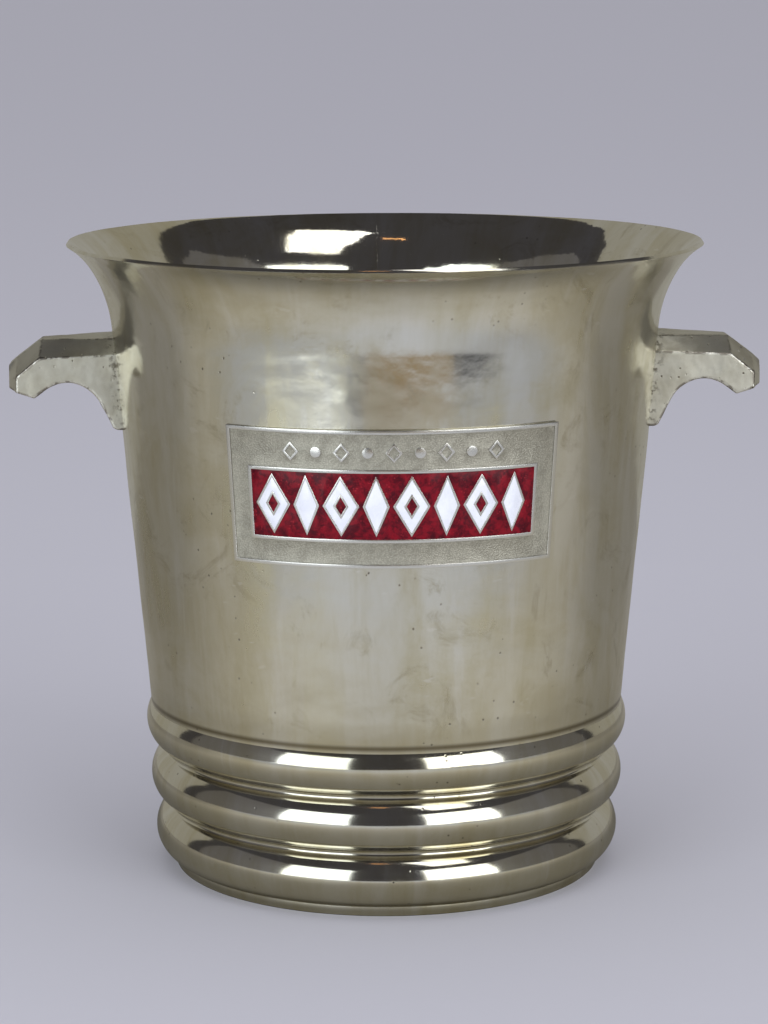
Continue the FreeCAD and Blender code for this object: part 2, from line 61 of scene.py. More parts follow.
CONE_TOP, FLARE_BREAK = 182.1 * MM, 202.2 * MM
SOFT_CURVE, LIP_CURVE = 44.2 * MM, 25.9 * MM
DARK_GROOVE_HEIGHTS = [4.4 * MM, 22.8 * MM, 41.6 * MM, 57.0 * MM]  # where the grooves under each rib are darkened: dirt there, and painted shade
NEARLY_STRAIGHT = 10.0  # a circle this large passes for the wall

PLAQUE_FACE = 1.4 * MM  # front of the plaque's flat field, off the wall
LOZENGES, OPEN_LOZENGES = 8, 4

EDGE_SOFTNESS = {  # how far each kind of edge is rounded over
    "lip": 0.42 * MM, "disc": 0.3 * MM, "hook": 0.7 * MM, "plaque": 0.18 * MM,
    "red_enamel": 0.08 * MM, "white_enamel": 0.1 * MM,
}
DISC_DISH_TOP, DISC_DISH_UNDER, DISC_RINGS = 0.25 * MM, 0.12 * MM, 24
SEAM_WIDTH, SEAM_REACH, SEAM_HEIGHT = 3.4 * MM, 3.4 * MM, 2.7 * MM
SEAM_CURVE, SEAM_LAP = 9.9 * MM, 0.5 * MM
STIFF_RIBS, STIFF_LIP = 0.12, 0.4  # share of the dents that the ribs and the lip take
MERGE_GAP = 0.004 * MM  # corners closer than this are one corner

ROUND_STEPS, DISC_STEPS, SEAM_STEPS = 224, 160, 220  # round the axis
HOLLOW_STEPS, RIB_STEPS, WALL_STEPS, FLARE_STEPS = 8, 24, 24, 12  # up the outline


# ------------------------------------------------------------------ bench helpers


def put_down():
    """Nothing selected, nothing in edit mode."""
    if bpy.context.object and bpy.context.object.mode != "OBJECT":
        bpy.ops.object.mode_set(mode="OBJECT")
    bpy.ops.object.select_all(action="DESELECT")


def pick_up(piece):
    put_down()
    bpy.context.view_layer.objects.active = piece
    piece.select_set(True)


def name_it(piece, name):
    piece.name = name
    piece.data.name = name
    return piece


def finish_with(piece, kind, **settings):
    """Add a modifier, set it up and apply it."""
    pick_up(piece)
    modifier = piece.modifiers.new(kind.lower(), kind)
    for key, value in settings.items():
        setattr(modifier, key, value)
    bpy.ops.object.modifier_apply(modifier=modifier.name)


def tidy_mesh(piece, gap=0.005 * MM):
    """Merge doubles and point every face outwards."""
    pick_up(piece)
    bpy.ops.object.mode_set(mode="EDIT")
    bpy.ops.mesh.select_all(action="SELECT")
    bpy.ops.mesh.remove_doubles(threshold=gap)
    bpy.ops.mesh.normals_make_consistent(inside=False)
    bpy.ops.object.mode_set(mode="OBJECT")


def smooth(piece, degrees=35):
    pick_up(piece)
    bpy.ops.object.shade_smooth_by_angle(angle=math.radians(degrees))


def round_edges(piece, width, segments, sharper_than):
    """Bevel every edge that turns by more than sharper_than degrees."""
    finish_with(
        piece, "BEVEL", width=width, segments=segments, limit_method="ANGLE",
        angle_limit=math.radians(sharper_than),
    )


def clouds(name, size, depth=2):
    texture = bpy.data.textures.new(name, "CLOUDS")
    texture.noise_scale = size
    texture.noise_depth = depth
    return texture


def drift(piece, name, size, strength, group="", depth=2):
    """Push the surface in and out a little, as hand work and years of use do."""
    finish_with(
        piece, "DISPLACE", texture=clouds(name, size, depth), texture_coords="LOCAL",
        strength=strength, mid_level=0.5, vertex_group=group,
    )


def spin_profile(name, points, steps=ROUND_STEPS):
    """Turn a profile of (radius, height) points round the bucket's axis."""
    put_down()
    bpy.ops.mesh.primitive_plane_add(size=MM, location=(0, 0, 0))
    piece = name_it(bpy.context.object, name)
    bpy.ops.object.mode_set(mode="EDIT")
    bpy.ops.mesh.merge(type="CENTER")
    bpy.ops.transform.translate(value=(points[0][0], 0, points[0][1]))
    for (radius, height), (next_radius, next_height) in zip(points, points[1:]):
        step = (next_radius - radius, 0, next_height - height)
        bpy.ops.mesh.extrude_region_move(TRANSFORM_OT_translate={"value": step})
    bpy.ops.mesh.select_all(action="SELECT")
    bpy.ops.mesh.spin(steps=steps, angle=FULL_TURN, center=(0, 0, 0), axis=(0, 0, 1))
    bpy.ops.object.mode_set(mode="OBJECT")
    tidy_mesh(piece)
    return piece


def bearing(centre, point):
    return math.atan2(point[1] - centre[1], point[0] - centre[0])


def arc_about(centre, radius, start, end, count):
    """Points round a centre from start's bearing to end's, the short way, without start."""
    first = bearing(centre, start)
    turn = (bearing(centre, end) - first + math.pi) % FULL_TURN - math.pi
    angles = [first + turn * n / count for n in range(1, count + 1)]
    return [(centre[0] + radius * math.cos(a), centre[1] + radius * math.sin(a)) for a in angles]


# ------------------------------------------------------------------ shell and base


def wall_radius(height):
    """Outside of the straight part of the wall."""
    return SHOULDER_RADIUS + (height - SHOULDER_HEIGHT) * math.tan(WALL_SLOPE)


def resting_ball(low, high, ball):
    """Centre of a ball in the groove between two circles, (x, y, radius), and where it touches them."""
    run = (high[0] - low[0], high[1] - low[1])
    span = math.hypot(*run)
    to_low, to_high = low[2] + ball, high[2] + ball
    along = (span**2 + to_low**2 - to_high**2) / (2 * span)
    out = math.sqrt(to_low**2 - along**2)
    centre = (
        low[0] + (run[0] * along + run[1] * out) / span,
        low[1] + (run[1] * along - run[0] * out) / span,
    )
    touches = []
    for x, y, radius in (low, high):
        share = radius / (radius + ball)
        touches.append((x + (centre[0] - x) * share, y + (centre[1] - y) * share))
    return centre, touches


def flare(start, lean, curve, top, count):
    """Hollow arc that leaves start at a lean from upright and rises to a height."""
    centre = (start[0] + curve * math.cos(lean), start[1] - curve * math.sin(lean))
    last = math.asin((top - centre[1]) / curve)
    angles = [lean + (last - lean) * n / count for n in range(1, count + 1)]
    return [(centre[0] - curve * math.cos(a), centre[1] + curve * math.sin(a)) for a in angles], last


def wall_points():
    """Foot, bead, ribs and hollows, wall and lip, from the bottom up."""
    lift = BEAD_HEIGHT - FOOT_LAND
    bead = (FOOT_RADIUS - math.sqrt(BEAD_CURVE**2 - lift**2), BEAD_HEIGHT, BEAD_CURVE)
    ribs = [(RIB_REACH + n * RIB_STEP, RIB_HEIGHT + n * RIB_PITCH, RIB_CURVES[n]) for n in range(3)]
    wall = (
        SHOULDER_RADIUS - NEARLY_STRAIGHT * math.cos(WALL_SLOPE),
        SHOULDER_HEIGHT + NEARLY_STRAIGHT * math.sin(WALL_SLOPE),
        NEARLY_STRAIGHT,
    )
    rounds = [bead] + ribs + [wall]
    hollows = [FOOT_HOLLOW, RIB_HOLLOW, RIB_HOLLOW, NECK_HOLLOW]
    points = [(FOOT_RADIUS, 0), (FOOT_RADIUS, FOOT_LAND)]
    for below, above, hollow in zip(rounds, rounds[1:], hollows):
        ball, (low, high) = resting_ball(below, above, hollow)
        steps = HOLLOW_STEPS if below is bead else RIB_STEPS
        points += arc_about(below, below[2], points[-1], low, steps)
        points += arc_about(ball, hollow, low, high, HOLLOW_STEPS)
    low_end = points[-1][1]
    for n in range(1, WALL_STEPS + 1):
        height = low_end + (CONE_TOP - low_end) * n / WALL_STEPS
        points.append((wall_radius(height), height))
    soft, lean = flare(points[-1], WALL_SLOPE, SOFT_CURVE, FLARE_BREAK, FLARE_STEPS)
    tight, _ = flare(soft[-1], lean, LIP_CURVE, OUTSIDE_TOP, FLARE_STEPS)
    return points + soft + tight


def make_shell():
    """Spun sheet: the outside first, with its dents, then the sheet's gauge inwards."""
    shell = spin_profile("shell", wall_points())
    hand = shell.vertex_groups.new(name="dented")
    for vertex in shell.data.vertices:
        above_ribs = (vertex.co.z - SHOULDER_HEIGHT) / (6 * MM)
        below_lip = (OVERALL_HEIGHT - vertex.co.z) / (12 * MM)
        share = max(STIFF_RIBS, min(1, above_ribs, STIFF_LIP + below_lip))
        hand.add([vertex.index], share, "REPLACE")
    drift(shell, "out_of_round", size=70 * MM, strength=0.9 * MM, group="dented", depth=1)
    drift(shell, "soft_dents", size=22 * MM, strength=0.28 * MM, group="dented", depth=1)
    finish_with(shell, "SOLIDIFY", thickness=GAUGE, offset=-1, use_even_offset=True)
    round_edges(shell, EDGE_SOFTNESS["lip"], 3, 60)
    smooth(shell, 40)
    return shell


def make_base():
    """Bottom disc, slightly dished, with a turned edge."""
    low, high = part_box("base_plate")
    reach, edge = high.x, EDGE_SOFTNESS["disc"]
    dish = [(reach * n / DISC_RINGS, math.sin(math.pi * n / DISC_RINGS)) for n in range(DISC_RINGS)]
    points = [(radius, high.z - DISC_DISH_TOP * share) for radius, share in dish]
    points += [(reach - edge, high.z), (reach, high.z - edge), (reach, low.z + edge)]
    points += [(reach - edge, low.z)]
    points += [(radius, low.z + DISC_DISH_UNDER * share) for radius, share in reversed(dish)]
    base = spin_profile("bottom_disc", points, DISC_STEPS)
    smooth(base, 30)
    return base


def make_seam():
    """Solder run round the inside of the bottom."""
    base_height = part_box("base_solder_seam")[0].z
    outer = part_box("base_plate")[1].x
    inner = outer - SEAM_WIDTH
    toe = (inner, base_height)
    top = (outer + SEAM_REACH, base_height + SEAM_HEIGHT)
    points = [toe] + arc_about((inner, base_height + SEAM_CURVE), SEAM_CURVE, toe, top, 6)
    points += [(outer + SEAM_LAP, base_height), toe]
    seam = spin_profile("bottom_seam", points, SEAM_STEPS)
    drift(seam, "solder_lumps", size=5 * MM, strength=0.35 * MM)
    smooth(seam, 50)
    return seam


# ------------------------------------------------------------------ handles and plaque


def copy_node(node, name):
    """A merged copy of a node's mesh, to be worked on."""
    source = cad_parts[node]
    piece = bpy.data.objects.new(name, source.data.copy())
    bpy.context.scene.collection.objects.link(piece)
    piece.data.name = name
    piece.data.materials.clear()
    pick_up(piece)
    bpy.ops.object.mode_set(mode="EDIT")
    bpy.ops.mesh.select_all(action="SELECT")
    bpy.ops.mesh.remove_doubles(threshold=MERGE_GAP)
    bpy.ops.mesh.dissolve_limited(angle_limit=math.radians(0.6))
    bpy.ops.object.mode_set(mode="OBJECT")
    return piece


def make_handle(node, name):
    """Cast hook: softened edges and a slightly uneven skin."""
    handle = copy_node(node, name)
    round_edges(handle, EDGE_SOFTNESS["hook"], 3, 14)
    finish_with(handle, "REMESH", mode="VOXEL", voxel_size=0.42 * MM)
    finish_with(handle, "SMOOTH", factor=0.5, iterations=3)
    drift(handle, name + "_hand_filed", size=9 * MM, strength=0.35 * MM, depth=1)
    drift(handle, name + "_sand_cast", size=1.6 * MM, strength=0.07 * MM)
    smooth(handle, 60)
    return handle


def make_handle_solder(node, name):
    """Solder run along a hook's foot, lumpy as it froze."""
    fillet = copy_node(node, name)
    finish_with(fillet, "REMESH", mode="VOXEL", voxel_size=0.28 * MM)
    finish_with(fillet, "SMOOTH", factor=0.6, iterations=6)
    drift(fillet, name + "_lumps", size=2.2 * MM, strength=0.4 * MM)
    smooth(fillet, 60)
    return fillet


def soften(node, name, width, segments=2):
    """A copy of a small piece with its edges rounded over."""
    piece = copy_node(node, name)
    round_edges(piece, width, segments, 40)
    smooth(piece, 40)
    return piece


# ------------------------------------------------------------------ finishes


class Socket:
    """A shader node's output, which takes part in sums."""

    def __init__(self, finish, output):
        self.finish = finish
        self.output = output

    def maths(self, operation, *values):
        return self.finish.node("ShaderNodeMath", {"operation": operation}, *values)

    def __add__(self, other):
        return self.maths("ADD", self, other)

    def __radd__(self, other):
        return self.maths("ADD", other, self)

    def __sub__(self, other):
        return self.maths("SUBTRACT", self, other)

    def __rsub__(self, other):
        return self.maths("SUBTRACT", other, self)

    def __mul__(self, other):
        return self.maths("MULTIPLY", self, other)

    def __rmul__(self, other):
        return self.maths("MULTIPLY", other, self)

    def __pow__(self, other):
        return self.maths("POWER", self, other)


class Finish:
    """A node tree being built, for a material or for the room's light."""

    def __init__(self, owner):
        owner.use_nodes = True
        self.tree = owner.node_tree

    def node(self, kind, settings=None, *values, out=0, **named):
        made = self.tree.nodes.new(kind)
        for key, value in (settings or {}).items():
            if key == "stops":
                self.set_stops(made.color_ramp, value)
            else:
                setattr(made, key, value)
        for key, value in list(enumerate(values)) + list(named.items()):
            if isinstance(key, str):
                key = key.replace("_", " ")
            self.feed(made.inputs[key], value)
        return Socket(self, made.outputs[out])

    def feed(self, entry, value):
        if isinstance(value, Socket):
            self.tree.links.new(value.output, entry)
        else:
            entry.default_value = value

    @staticmethod
    def set_stops(ramp, stops):
        while len(ramp.elements) < len(stops):
            ramp.elements.new(1.0)
        for element, (position, grey) in zip(ramp.elements, stops):
            element.position = position
            element.color = (grey, grey, grey, 1)

    def coat(self, **values):
        """Set or link the sockets of the material's own shader."""
        shader = self.tree.nodes["Principled BSDF"]
        for key, value in values.items():
            self.feed(shader.inputs[key.replace("_", " ")], value)

    # Short names for what every finish uses.

    def place(self):
        return self.node("ShaderNodeTexCoord", None, out="Object")

    def split(self, vector):
        kind = "ShaderNodeSeparateXYZ"
        parts = self.node(kind, None, vector).output.node
        return [Socket(self, parts.outputs[n]) for n in range(3)]

    def join(self, x, y, z):
        return self.node("ShaderNodeCombineXYZ", None, x, y, z)

    def noise(self, vector, scale, detail=2.0, roughness=0.5, distortion=0.0):
        return self.node(
            "ShaderNodeTexNoise", None, Vector=vector, Scale=scale, Detail=detail,
            Roughness=roughness, Distortion=distortion,
        )

    def cells(self, vector, scale, feature="F1"):
        return self.node("ShaderNodeTexVoronoi", {"feature": feature}, Vector=vector, Scale=scale)

    def ramp(self, value, low, high, bottom=0.0, top=1.0):
        """Smooth step from bottom to top as value goes from low to high."""
        return self.node(
            "ShaderNodeMapRange", {"interpolation_type": "SMOOTHSTEP"}, value, low, high, bottom, top
        )

    def blend(self, factor, first, second):
        """Mix two colours."""
        kind = "ShaderNodeMix"
        mixed = self.node(kind, {"data_type": "RGBA"}, factor, out=2)
        entries = mixed.output.node.inputs
        self.feed(entries[6], first)
        self.feed(entries[7], second)
        return mixed

    def layers(self, base, *coats):
        """Colours laid one over another, each through its own mask."""
        for mask, shade in coats:
            base = self.blend(mask, base, shade)
        return base

    def relief(self, *heights):
        """Bumps laid one over another, each a (height, strength, distance)."""
        surface = None
        for height, strength, distance in heights:
            surface = self.bump(height, strength, distance, surface)
        return surface

    def bump(self, height, strength, distance, under=None):
        named = {"Height": height, "Strength": strength, "Distance": distance}
        if under:
            named["Normal"] = under
        return self.node("ShaderNodeBump", None, **named)


def colour(red, green, blue):
    """A shade as the shader's sockets take it."""
    return (red, green, blue, 1.0)


def new_finish(name):
    material = bpy.data.materials.new(name)
    return material, Finish(material)


def round_the_wall(finish):
    """Angle, height and radius of a point about the bucket's axis."""
    x, y, z = finish.split(finish.place())
    angle = finish.node("ShaderNodeMath", {"operation": "ARCTAN2"}, x, -1.0 * y)
    radius = (x * x + y * y) ** 0.5
    return angle, z, radius


def near_heights(finish, height, centres, width):
    """1 close to any of the given heights, 0 away from them."""
    total = 0.0
    for centre in centres:
        away = finish.node("ShaderNodeMath", {"operation": "ABSOLUTE"}, height - centre)
        total = finish.ramp(away, 0.0, width, 1.0, 0.0) + total
    return total


def off_the_wall(height, radius):
    """How far a point stands off the straight wall."""
    return radius - height * math.tan(WALL_SLOPE) - WALL_AT_TABLE


def facing_in(f, place):
    """1 on the inside of the bucket, 0 on the outside."""
    facing = f.split(f.node("ShaderNodeNewGeometry", None, out="Normal"))
    x, y, _ = f.split(place)
    return f.ramp(facing[0] * x + facing[1] * y, -0.012, 0.0, 1.0, 0.0)


def plated_silver():
    """Worn silver plate: bright on the ribs, hazed on the wall, with drips, pits and tarnish."""
    material, f = new_finish("worn_silver_plate")
    clean, yellowed = colour(0.77, 0.75, 0.655), colour(0.625, 0.575, 0.4)
    stained, wiped, hollow_dark = colour(0.4, 0.35, 0.22), colour(0.84, 0.83, 0.78), colour(0.13, 0.1, 0.05)
    pitted, scratched = colour(0.1, 0.08, 0.06), colour(0.9, 0.88, 0.82)
    angle, height, radius = round_the_wall(f)
    place = f.place()
    on_wall = f.ramp(height, 54 * MM, 66 * MM)
    on_lip = f.ramp(height, 196 * MM, 209 * MM)

    drips = f.noise(f.join(angle * 6.0, height * 11.0, radius * 4.0), 1.0, 5.0, 0.65, 0.4)
    rubbing = f.noise(f.join(angle * 4.0, height * 1100.0, 0.0), 1.0, 3.0, 0.6)
    haze = f.noise(place, 26.0, 6.0, 0.65, 0.8)
    stain = f.ramp(f.noise(place, 48.0, 6.0, 0.72, 1.2), 0.54, 0.7)
    scratch_bed = f.noise(f.join(angle * 12.0, height * 420.0, 3.0), 1.0, 2.0, 0.5)
    scratch = f.ramp(scratch_bed, 0.66, 0.7) * f.ramp(f.noise(place, 34.0), 0.5, 0.62)
    pit = f.ramp(f.cells(place, 240.0), 0.05, 0.12, 1.0, 0.0) * f.ramp(f.noise(place, 30.0), 0.48, 0.6)
    # Dirt and painted shade: the colour is darkened along the grooves under the ribs.
    groove_dirt_and_shade = near_heights(f, height, DARK_GROOVE_HEIGHTS, 1.5 * MM)
    yellow = f.ramp(haze, 0.36, 0.66) * 0.55 + f.ramp(drips, 0.44, 0.68) * 0.45
    base = f.layers(
        f.blend(yellow, clean, yellowed),
        (stain * 0.42 * on_wall, stained),
        (f.ramp(drips, 0.34, 0.46, 1.0, 0.0) * 0.5, wiped),
        # Dark grooves: dirt and painted shade.
        (groove_dirt_and_shade * 0.8, hollow_dark),
        (pit * 0.65, pitted),
        (scratch * 0.35 * on_wall, scratched),
    )

    hazed = 0.02 + 0.12 * f.ramp(haze, 0.4, 0.68) + 0.08 * f.ramp(drips, 0.42, 0.7)
    rough = 0.085 + on_wall * (1.0 - 0.6 * on_lip) * hazed
    rough = rough + 0.06 * stain + 0.03 * rubbing + 0.1 * groove_dirt_and_shade
    rough = rough * (1.0 - 0.55 * facing_in(f, place))

    wobble = f.noise(f.join(angle * 1.6, height * 32.0, radius * 6.0), 1.0, 3.0, 0.5, 0.3)
    surface = f.relief(
        (rubbing, 0.12, 0.012 * MM),
        (wobble * on_wall, 0.75, 0.85 * MM),
        (f.noise(place, 150.0, 3.0, 0.5), 0.4 * on_wall + 0.12, 0.09 * MM),
        (pit, 0.6, -0.06 * MM),
    )
    f.coat(Base_Color=base, Roughness=rough, Normal=surface, Metallic=1.0)
    return material


def cast_silver():
    """Plated casting: duller, with sand pits, darker in the low spots, and rubbed edges."""
    material, f = new_finish("plated_casting")
    pale, dull, bright = colour(0.7, 0.68, 0.59), colour(0.56, 0.53, 0.43), colour(0.9, 0.89, 0.84)
    worn_dark, hollow_dark = colour(0.16, 0.13, 0.1), colour(0.16, 0.13, 0.08)
    solder_dark, pitted = colour(0.12, 0.1, 0.07), colour(0.1, 0.08, 0.06)
    place = f.place()
    _, height, radius = round_the_wall(f)

    cloud = f.noise(place, 70.0, 5.0, 0.65)
    grain = f.noise(place, 900.0, 3.0, 0.6)
    pit = f.ramp(f.cells(place, 420.0), 0.08, 0.2, 1.0, 0.0) * f.ramp(f.noise(place, 110.0), 0.5, 0.62)
    edge = f.node("ShaderNodeNewGeometry", None, out="Pointiness")
    rubbed = f.ramp(edge, 0.508, 0.54)
    chipped = f.ramp(edge, 0.503, 0.52) * f.ramp(f.noise(place, 260.0, 4.0, 0.7), 0.46, 0.56)
    # Darker in the low spots, where the surface is hollow.
    in_hollows = f.ramp(edge, 0.43, 0.485, 1.0, 0.0)
    at_root = f.ramp(off_the_wall(height, radius), 0.8 * MM, 5 * MM, 1.0, 0.0)
    speckled = at_root * f.ramp(f.noise(place, 420.0, 4.0, 0.7), 0.5, 0.62)
    base = f.layers(
        f.blend(f.ramp(cloud, 0.35, 0.7), pale, dull),
        (rubbed * 0.7, bright),
        (chipped * 0.75, worn_dark),
        (in_hollows * 0.6, hollow_dark),
        (speckled * 0.85, solder_dark),
        (pit * 0.8, pitted),
    )
    rough = 0.34 + 0.14 * cloud + 0.06 * grain + 0.15 * pit - 0.14 * rubbed
    surface = f.relief((grain, 0.3, 0.02 * MM), (pit, 0.9, -0.15 * MM))
    f.coat(Base_Color=base, Roughness=rough, Normal=surface, Metallic=1.0)
    return material


def struck_silver():
    """Plaque: dull stippled ground with painted shade against the ridges, ridge tops rubbed bright."""
    material, f = new_finish("struck_plaque_plate")
    field, ridge_top = colour(0.58, 0.56, 0.48), colour(0.78, 0.77, 0.72)
    mottled, specked, hollow_dark = colour(0.36, 0.34, 0.29), colour(0.2, 0.18, 0.14), colour(0.12, 0.1, 0.07)
    _, height, radius = round_the_wall(f)
    place = f.place()
    rise = off_the_wall(height, radius) - PLAQUE_FACE
    raised = f.ramp(rise, 0.15 * MM, 0.34 * MM)
    # Painted shade: a dark band along the foot of every ridge, where the ground meets it.
    painted_ridge_shade = f.ramp(rise, 0.03 * MM, 0.1 * MM) * f.ramp(rise, 0.22 * MM, 0.36 * MM, 1.0, 0.0)
    ground = 1.0 - raised

    stipple = f.cells(place, 2300.0)
    mottle = f.noise(place, 240.0, 4.0, 0.6)
    base = f.layers(
        f.blend(raised, field, ridge_top),
        (f.ramp(mottle, 0.4, 0.7) * ground * 0.5, mottled),
        (f.ramp(stipple, 0.25, 0.6) * ground * 0.35, specked),
        # Painted shade at the feet of the ridges.
        (painted_ridge_shade * 0.8, hollow_dark),
    )
    rough = 0.2 + 0.26 * ground + 0.1 * mottle
    surface = f.bump(stipple * ground, 0.8, 0.11 * MM)
    f.coat(Base_Color=base, Roughness=rough, Normal=surface, Metallic=1.0)
    return material


def soft_solder():
    """Dull grey solder, lumpy and pitted."""
    material, f = new_finish("soft_solder_grey")
    light, dark, pitted = colour(0.66, 0.64, 0.58), colour(0.2, 0.18, 0.14), colour(0.06, 0.05, 0.04)
    place = f.place()
    lumps = f.noise(place, 500.0, 4.0, 0.65)
    pit = f.ramp(f.cells(place, 800.0), 0.1, 0.24, 1.0, 0.0)
    base = f.layers(f.blend(f.ramp(lumps, 0.35, 0.65), light, dark), (pit * 0.6, pitted))
    surface = f.bump(lumps, 0.8, 0.2 * MM)
    f.coat(Base_Color=base, Roughness=0.24 + 0.3 * lumps, Normal=surface, Metallic=1.0)
    return material


def crimson_enamel():
    """Translucent red glass over stippled metal: mottled, with brighter flecks."""
    material, f = new_finish("crimson_enamel")
    deep, red, bright = colour(0.06, 0.0005, 0.006), colour(0.21, 0.002, 0.011), colour(0.42, 0.025, 0.035)
    place = f.place()
    cloud = f.noise(place, 320.0, 5.0, 0.7, 0.4)
    in_patches = f.ramp(f.noise(place, 260.0), 0.48, 0.66)
    fleck = f.ramp(f.cells(place, 1100.0), 0.12, 0.3, 1.0, 0.0) * in_patches
    base = f.layers(f.blend(f.ramp(cloud, 0.36, 0.66), deep, red), (fleck * 0.7, bright))
    surface = f.bump(cloud, 0.3, 0.08 * MM)
    f.coat(
        Base_Color=base, Roughness=0.3 + 0.2 * cloud, Normal=surface, Coat_Weight=0.08,
        Coat_Roughness=0.12, Specular_IOR_Level=0.16,
    )
    return material


def white_enamel():
    """Bluish-white glass with a few dark specks."""
    material, f = new_finish("white_enamel_glass")
    clear, shaded, dark = colour(0.82, 0.84, 0.9), colour(0.74, 0.76, 0.84), colour(0.3, 0.24, 0.22)
    place = f.place()
    cloud = f.noise(place, 180.0, 3.0, 0.6)
    in_patches = f.ramp(f.noise(place, 120.0), 0.55, 0.68)
    speck = f.ramp(f.cells(place, 700.0), 0.03, 0.08, 1.0, 0.0) * in_patches
    base = f.layers(f.blend(f.ramp(cloud, 0.35, 0.7), clear, shaded), (speck * 0.7, dark))
    surface = f.bump(cloud, 0.2, 0.08 * MM)
    f.coat(
        Base_Color=base, Roughness=0.2 + 0.12 * cloud, Normal=surface, Coat_Weight=0.5,
        Coat_Roughness=0.08,
    )
    return material


# ------------------------------------------------------------------ stage

TABLE_FRONT, TABLE_LEFT, TABLE_RIGHT, TABLE_BACK = -0.56, -1.6, 1.3, 0.5
UPRIGHT = math.radians(90)
LEVEL, FACING, SIDEWAYS = (0, 0, 0), (UPRIGHT, 0, 0), (UPRIGHT, 0, UPRIGHT)
MATT = 0.8
FLOOR_WIDTH = 80
ROOM_LIGHT, ROOM_IN_METAL = (0.7, 0.7, 0.73), (0.052, 0.05, 0.056)
WINDOW_BEARING = 37  # degrees to the right of straight in front

# What the metal sees of the room: name, size, place, turn, shade, strength.
REFLECTED = [
    ("screen", (2.6, 0.8), (0.1, TABLE_BACK, 0.4), FACING, (0.3, 0.29, 0.26), 1.0),
    ("chest", (0.66, 0.5), (0.14, -0.98, -0.28), FACING, (0.3, 0.22, 0.12), 1.0),
    ("curtain", (0.34, 0.5), (0.66, -0.96, -0.26), FACING, (0.02, 0.02, 0.03), 1.0),
    ("left_room", (1.7, 1.5), (-1.7, -0.45, 0.7), SIDEWAYS, (0.12, 0.115, 0.12), 1.0),
    ("right_room", (1.7, 1.5), (1.7, -0.45, 0.7), SIDEWAYS, (0.12, 0.115, 0.12), 1.0),
    ("skylight", (0.8, 1.3), (0.78, -1.0, 2.1), (0, 0, math.radians(WINDOW_BEARING)), (1, 1, 1), 2.2),
    ("warm_lamp", (0.22, 0.05), (-0.14, -1.05, 2.1), LEVEL, (1.0, 0.5, 0.2), 2.0),
]


def plain(name, shade):
    material, f = new_finish(name)
    f.coat(Base_Color=colour(*shade), Roughness=MATT)
    return material


def flat_card(name, size, place, material, turn=(0, 0, 0)):
    put_down()
    bpy.ops.mesh.primitive_plane_add(size=1, location=(0, 0, 0))
    card = name_it(bpy.context.object, name)
    card.scale = (*size, 1)
    card.rotation_euler = turn
    card.location = place
    bpy.ops.object.transform_apply(location=True, rotation=True, scale=True)
    card.data.materials.append(material)
    return card


def only_in_reflections(card):
    """Hide a card from everything but the metal."""
    card.visible_camera = False
    card.visible_diffuse = False
    card.visible_shadow = False


def table_cloth():
    """Painted light and shade: paler towards the windows, painted shade at the sides and behind, and a
    painted shadow close round the foot.
    """
    material, f = new_finish("table_cloth")
    by_the_window, aside = colour(0.59, 0.6, 0.64), colour(0.68, 0.635, 0.54)
    x, y, _ = f.split(f.place())
    away = (x * x + y * y) ** 0.5
    # Painted shadow: the cloth darkens close round the foot.
    painted_foot_shadow = f.ramp(away, 0.07, 0.3, 0.42, 1.0)
    # Painted shade: darker at the sides.
    side = f.ramp(f.node("ShaderNodeMath", {"operation": "ABSOLUTE"}, x), 0.06, 0.36, 1.0, 0.68)
    # Painted shade behind the bucket, away from the windows.
    painted_shade_behind = f.ramp(y, -0.16, 0.1, 1.0, 0.6)
    # Painted window light: the cloth in front, towards the windows, takes a cooler tint.
    in_front = f.ramp(y, -0.36, -0.12, 1.0, 0.0)
    cloth = f.blend(in_front, aside, by_the_window)
    base = f.blend(painted_foot_shadow * side * painted_shade_behind, colour(0, 0, 0), cloth)
    f.coat(Base_Color=base, Roughness=MATT)
    return material


def shining_card(name, size, place, turn, shade, strength):
    """A card that only the metal sees, with a light of its own."""
    material, f = new_finish(name)
    f.coat(Base_Color=colour(0, 0, 0), Emission_Color=colour(*shade), Emission_Strength=strength)
    only_in_reflections(flat_card(name, size, place, material, turn))


def make_floor():
    """Pale floor for the camera, and for the metal a table's width of it with the room around."""
    pale = plain("pale_floor", (0.6, 0.595, 0.665))
    floor = flat_card("floor", (FLOOR_WIDTH, FLOOR_WIDTH), (0, 0, 0), pale)
    floor.visible_glossy = False
    floor.visible_shadow = False
    size = (TABLE_RIGHT - TABLE_LEFT, TABLE_BACK - TABLE_FRONT)
    middle = ((TABLE_RIGHT + TABLE_LEFT) / 2, (TABLE_BACK + TABLE_FRONT) / 2, 0.2 * MM)
    only_in_reflections(flat_card("table", size, middle, table_cloth()))
    for card in REFLECTED:
        shining_card(*card)


def window_light(name, side, distance, width, low, high, radiance, tint):
    """Tall soft light in front, turned to face the bucket: side is its bearing in degrees."""
    side = math.radians(side)
    lamp = bpy.data.lights.new(name, "AREA")
    lamp.shape = "RECTANGLE"
    lamp.size, lamp.size_y = width, high - low
    lamp.energy = radiance * math.pi * width * (high - low)
    lamp.color = tint
    holder = bpy.data.objects.new(name, lamp)
    holder.location = (distance * math.sin(side), -distance * math.cos(side), (low + high) / 2)
    holder.rotation_euler = (UPRIGHT, 0, side)
    holder.visible_camera = False
    bpy.context.scene.collection.objects.link(holder)


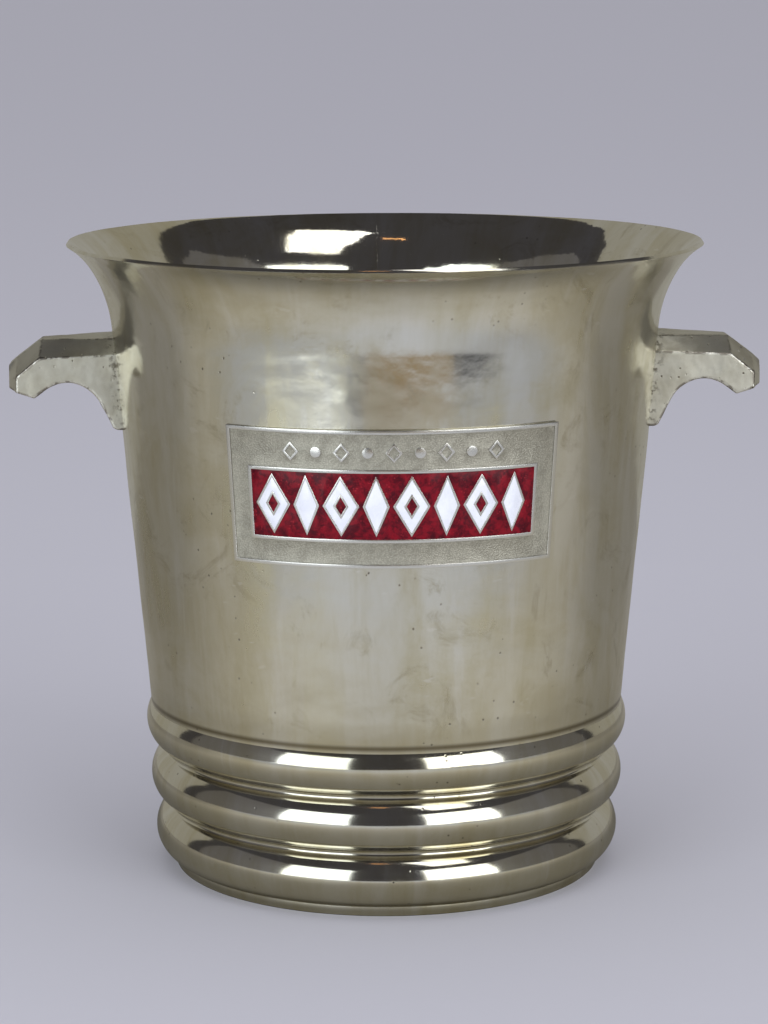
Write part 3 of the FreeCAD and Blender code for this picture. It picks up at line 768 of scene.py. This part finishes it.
def make_lights():
    window_light("left_window", -38, 2.2, 1.5, -0.5, 1.6, 2.3, (0.9, 0.96, 1.0))
    window_light("right_window", WINDOW_BEARING, 2.2, 1.6, -0.12, 1.6, 2.65, (0.95, 0.98, 1.0))
    world = bpy.data.worlds.new("soft_room")
    bpy.context.scene.world = world
    f = Finish(world)
    in_metal = f.node("ShaderNodeLightPath", None, out="Is Glossy Ray")
    glow = f.blend(in_metal, colour(*ROOM_LIGHT), colour(*ROOM_IN_METAL))
    f.feed(f.tree.nodes["Background"].inputs["Color"], glow)


CAMERA_DISTANCE, CAMERA_HEIGHT = 0.9985, 0.2993
CAMERA_BEARING = math.radians(-1.72)
CAMERA_TILT = math.radians(90 - 10.28)
CAMERA_ROLL = math.radians(0.17)
CAMERA_LENS, CAMERA_SENSOR = 106.3, 36  # millimetres


def make_camera():
    camera = bpy.data.objects.new("camera", bpy.data.cameras.new("camera"))
    camera.data.lens = CAMERA_LENS
    camera.data.sensor_width = CAMERA_SENSOR
    camera.data.clip_start = 0.02
    across, back = math.sin(CAMERA_BEARING), -math.cos(CAMERA_BEARING)
    camera.location = (CAMERA_DISTANCE * across, CAMERA_DISTANCE * back, CAMERA_HEIGHT)
    camera.rotation_euler = (CAMERA_TILT, CAMERA_ROLL, CAMERA_BEARING)
    bpy.context.scene.collection.objects.link(camera)
    bpy.context.scene.camera = camera


# ------------------------------------------------------------------ assembly


def fit(piece, material, slot, *nodes):
    """Give a finished piece its material and the place it takes in the assembly."""
    piece.data.materials.clear()
    piece.data.materials.append(material)
    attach(piece, "root")
    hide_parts(*nodes)


def recoat(node, material):
    """Give a part that is kept as it came its material."""
    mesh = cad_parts[node].data
    mesh.materials.clear()
    mesh.materials.append(material)


def assemble():
    silver, casting, struck = plated_silver(), cast_silver(), struck_silver()
    solder, red, white = soft_solder(), crimson_enamel(), white_enamel()
    fit(make_shell(), silver, "plated_shell", "body_shell")
    fit(make_base(), silver, "plated_base", "base_plate")
    fit(make_seam(), solder, "soft_solder", "base_solder_seam")
    for side in ("left", "right"):
        handle = "%s_handle" % side
        fit(make_handle(handle, "%s_hook" % side), casting, "cast_handle", handle)
        run = "%s_handle_solder" % side
        fit(make_handle_solder(run, "%s_hook_solder" % side), solder, "soft_solder", run)
    plaque = soften("plaque_plate", "plaque", EDGE_SOFTNESS["plaque"], 3)
    fit(plaque, struck, "struck_plaque", "plaque_plate")
    recoat("plaque_solder", solder)
    red_edge, white_edge = EDGE_SOFTNESS["red_enamel"], EDGE_SOFTNESS["white_enamel"]
    fit(soften("red_enamel_ground", "red_ground", red_edge), red, "red_enamel", "red_enamel_ground")
    for number in range(1, OPEN_LOZENGES + 1):
        node = "red_enamel_island_%d" % number
        fit(soften(node, "red_eye_%d" % number, red_edge), red, "red_enamel", node)
    for number in range(1, LOZENGES + 1):
        node = "white_enamel_%d" % number
        fit(soften(node, "white_lozenge_%d" % number, white_edge), white, "white_enamel", node)


bpy.context.scene.view_settings.view_transform = "Standard"
make_camera()
make_floor()
make_lights()
assemble()
